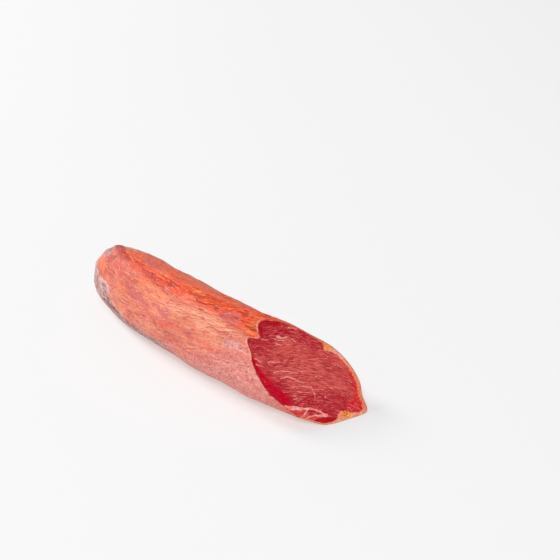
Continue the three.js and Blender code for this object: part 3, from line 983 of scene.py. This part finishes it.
def leanFinish():
    finish = Finish("lean", leanColours)
    broad = finish.cloud(finish.grain(16, 8), 3, 0.55, 0.3)
    marbling = finish.cloud(finish.grain(6, 1.1, 3.1), 4, 0.66, 0.6)
    thin = finish.cloud(finish.grain(4, 0.6, 7.7), 3, 0.62, 0.4)
    speck = finish.cloud(finish.places(0.6), 2, 0.6)

    def patch(name):
        return (finish.painted(name) + (marbling - 0.5) * 0.9 + (thin - 0.5) * 0.6).over(0.3, 0.8)

    colour = finish.tint(broad.over(0.36, 0.64), "lean", "paleLean")
    # the richer red patches near the top edge of the cut are painted shade
    for name, share in (("light", 0.5), ("richAndShade", 0.9), ("warm", 0.8)):
        colour = finish.tint(patch(name) * share, colour, name)
    colour = finish.mottle(colour, marbling, (0.5, 0.64), (0.48, "paleMarbling"), (0.55, "darkMarbling"))
    stringy = 0.45 + (1 - broad).over(0.36, 0.64) * 0.4
    threads = (stringy, "paleThread"), (stringy * 0.95, "darkThread")
    colour = finish.mottle(colour, thin, (0.54, 0.67), *threads)
    colour = finish.tint(speck.over(0.58, 0.72) * 0.3, colour, "speck")

    # the crimson wedge, and the darkest lean, which near the top edge of the cut is painted shade
    wedge = (finish.painted("wedge") + (marbling - 0.5) * 7 + (thin - 0.5) * 4).over(-2.0, 2.0)
    crimson = finish.tint(marbling.over(0.35, 0.6), "crimson", "redCrimson")
    colour = finish.tint(wedge, colour, crimson)
    colour = finish.tint(wedge * thin.over(0.5, 0.66) * 0.55, colour, "wedgeThread")
    colour = finish.tint(patch("dark") * 0.9, colour, "dark")

    # fatty streaks and seams
    streak = (finish.painted("streak") + (thin - 0.5) * 0.7 + (speck - 0.5) * 0.4).over(0.3, 0.75)
    colour = finish.tint(streak * 0.85, colour, "streak")
    seam = (finish.painted("seam") + (speck - 0.5) * 0.5 + (thin - 0.5) * 0.5).over(0.22, 0.6)
    lumpy = finish.cloud(finish.places(2.4), 2, 0.5)
    fatty = finish.tint(lumpy.over(0.46, 0.62), "seam", "paleSeam")
    fatty = finish.tint(patch("warm") * 0.7, fatty, "warmSeam")
    colour = finish.tint(seam, colour, fatty)
    relief = marbling * 0.45 + thin * 0.35 + speck * 0.2
    finish.shade({
        "Base Color": colour, "Roughness": 0.4 + speck * 0.16, "Normal": finish.bump(relief, 0.35, 0.5),
        "Specular IOR Level": 0.05, "Coat Weight": 0.02, "Coat Roughness": 0.25,
        "Subsurface Weight": 0.04, "Subsurface Radius": (1.2 * mm, 0.3 * mm, 0.3 * mm),
        "Subsurface Scale": 1,
    })
    return finish


# Fat: the uneven rim between casing and lean, wide in a pocket and a corner
fatRim = dict(
    rise=0.02, bulge=0.14, dip=0.42, lumps=0.16, thickness=0.8, floorGap=0.08, cuts=5, roughness=0.4,
)

# The orange pocket in the lower corner
fatPocket = dict(across=16.3, up=-32.4, reach=(3.4, 2.6), strength=1.2)

# Width of the rim by the angle round the cut, degrees from across towards up
fatWidths = [
    (-180, 0.16), (-150, 0.2), (-128, 0.3), (-112, 0.8), (-96, 0.8), (-82, 1.1), (-75, 2.6), (-70, 6.0),
    (-65, 7.4), (-61, 7.0), (-57, 3.6), (-52, 2.6), (-46, 3.8), (-40, 3.4), (-32, 2.8), (-25, 2.9),
    (-14, 2.9), (-4, 2.7), (3, 2.6), (10, 2.8), (17, 3.5), (24, 3.2), (31, 4.4), (37, 4.2), (42, 1.8),
    (48, 0.8), (62, 0.4), (80, 0.3), (108, 0.3), (120, 0.9), (127, 1.6), (132, 0.7), (140, 0.3),
    (180, 0.16),
]

# Colours round the rim: angle, how far they reach either side, and strength
fatMarks = dict(
    cream=[(36, 8, 1.0), (-84, 8, 0.5), (28, 5, 0.5)],
    blush=[(17, 9, 1.0), (-46, 6, 0.5), (127, 6, 0.8)],
    warm=[(-38, 13, 1.0), (-14, 12, 0.6), (-72, 9, 0.4), (-104, 15, 1.2), (44, 5, 1.2), (5, 6, 0.5)],
    # shade paints shade, a darker orange-brown, along the top of the rim
    shade=[(80, 32, 1.6)],
    bare=[(142, 30, 1.6), (-170, 44, 1.6)],
)


def fatWidthAt(angles):
    turns, widths = np.array(fatWidths).T
    return np.interp(angles, turns, widths)


def makeFat(piece):
    # a ring whose inner edge is drawn in by the width at each angle
    outer = placesOf(piece)
    count = len(outer)
    editAll(piece, "EDGE")
    bpy.ops.mesh.extrude_edges_move()
    leaveEdit()
    places = placesOf(piece)
    width = fatWidthAt(anglesOnCut(places))
    uneven = 1 + fatRim["roughness"] * cloudAt(places, 2.6, 3, 6)
    towards = np.array(cutMiddle) - places
    towards /= np.linalg.norm(towards, axis=1)[:, None]
    inner = np.arange(len(places)) >= count
    places[inner] += (towards * (width * uneven)[:, None])[inner]
    movePlaces(piece, places)
    turnOutward(piece)
    editEdges(piece, lambda one, other: (one < count) != (other < count))
    bpy.ops.mesh.subdivide(number_cuts=fatRim["cuts"])
    leaveEdit()
    return outer


def dressFat(piece, outer):
    places = placesOf(piece)
    away = np.array([np.min(np.linalg.norm(outer - place, axis=1)) for place in places])
    across, up = onCut(places)
    angles = anglesOnCut(places)
    share = np.clip(away / fatWidthAt(angles), 0, 1)
    arch = np.sin(math.pi * share)
    height = fatRim["rise"] + fatRim["bulge"] * arch - fatRim["dip"] * smooth(share, 0.6, 1)
    height += fatRim["lumps"] * cloudAt(places, 2.0, 2, 8) * arch
    places += np.array(cutOutward) * height[:, None]
    movePlaces(piece, places)
    pocket = (fatPocket["across"], fatPocket["up"], *fatPocket["reach"], fatPocket["strength"])
    paint(piece, dict(inwards=share, pocket=blobs(across, up, [pocket])))
    for name, marks in fatMarks.items():
        strengths = (
            strength * np.exp(-(turnFrom(angles, place) / reach) ** 2) for place, reach, strength in marks
        )
        paint(piece, {name: sum(strengths)})
    addModifier(piece, "SOLIDIFY", thickness=fatRim["thickness"] * mm, offset=-1)
    liftAboveFloor(piece, fatRim["floorGap"])


# Colours of the fat as seen on the screen
fatColours = dict(
    fat=(255, 138, 102), paleFat=(255, 196, 164), cream=(255, 160, 84), blush=(250, 178, 164),
    inside=(255, 124, 96), warm=(240, 92, 52), pocket=(246, 96, 22), pocketGold=(255, 172, 30),
    shade=(186, 84, 62), paleGrain=(255, 226, 200), darkGrain=(216, 84, 48), bare=(192, 14, 38),
    crease=(212, 66, 52),
)


def fatFinish():
    finish = Finish("fat", fatColours)
    soft = finish.cloud(finish.places(2.6), 3, 0.6, 0.5)
    fine = finish.cloud(finish.places(1.1), 2, 0.6)
    speck = finish.cloud(finish.places(0.6), 2, 0.6)
    vein = finish.cloud(finish.places(2.0), 2, 0.5, 0.8)

    def patch(name):
        return (finish.painted(name) + (soft - 0.5) * 0.8 + (fine - 0.5) * 0.4).over(0.3, 0.8)

    colour = finish.tint(soft.over(0.38, 0.64), "fat", "paleFat")
    for name in ("cream", "blush"):
        colour = finish.tint(patch(name) * 0.8, colour, name)
    inside = (finish.painted("inwards") + (fine - 0.5) * 0.8).over(0.1, 0.8)
    colour = finish.tint(inside * soft.over(0.36, 0.56) * 0.5, colour, "inside")
    colour = finish.tint(patch("warm") * (inside * 0.5 + 0.4), colour, "warm")
    orange = finish.tint(fine.over(0.4, 0.6), "pocket", "pocketGold")
    colour = finish.tint(patch("pocket") * 0.95, colour, orange)
    colour = finish.tint(patch("shade") * 0.8, colour, "shade")
    colour = finish.mottle(colour, fine, (0.53, 0.68), (0.5, "paleGrain"), (0.5, "darkGrain"))
    colour = finish.tint(patch("bare") * 0.95, colour, "bare")
    crease = (0.035 - abs(vein - 0.5)).over(0, 0.03) * soft.over(0.4, 0.6)
    colour = finish.tint(crease * 0.6, colour, "crease")
    relief = soft * 0.4 + fine * 0.4 + speck * 0.2 - crease * 0.3
    finish.shade({
        "Base Color": colour, "Roughness": 0.4 + fine * 0.14, "Normal": finish.bump(relief, 0.4, 0.5),
        "Specular IOR Level": 0.15, "Coat Weight": 0.04, "Coat Roughness": 0.25,
        "Subsurface Weight": 0.1, "Subsurface Radius": (2.0 * mm, 1.0 * mm, 0.6 * mm),
        "Subsurface Scale": 1,
    })
    return finish


def makeFloor():
    deselectAll()
    paper = studio["floor"]
    bpy.ops.mesh.primitive_plane_add(size=paper["size"] * mm)
    floor = bpy.context.object
    floor.name = "floor"
    finish = Finish("paper")
    cloudy = finish.cloud(finish.places(300), 2)
    dimmer = (*(level * paper["dimmed"] for level in paper["colour"]), 1)
    finish.shade({
        "Base Color": finish.tint(cloudy, dimmer, (*paper["colour"], 1)), "Roughness": 0.9,
        "Specular IOR Level": 0.1, "Emission Color": (1, 1, 1, 1), "Emission Strength": paper["glow"],
    })
    floor.data.materials.append(finish.material)


addCamera()
addStudio()
makeFloor()
print("camera, light and floor are in place")

casingPiece = makeCasing()
outline = recessOutline(casingPiece)
leanPiece = addRing("lean", outline)
fatPiece = addRing("fat", outline)
liftAboveFloor(casingPiece, casing["floorGap"])
dressCasing(casingPiece)
finishPiece(casingPiece, casingFinish())
makeLean(leanPiece)
dressLean(leanPiece)
finishPiece(leanPiece, leanFinish())
outerEdge = makeFat(fatPiece)
dressFat(fatPiece, outerEdge)
finishPiece(fatPiece, fatFinish())
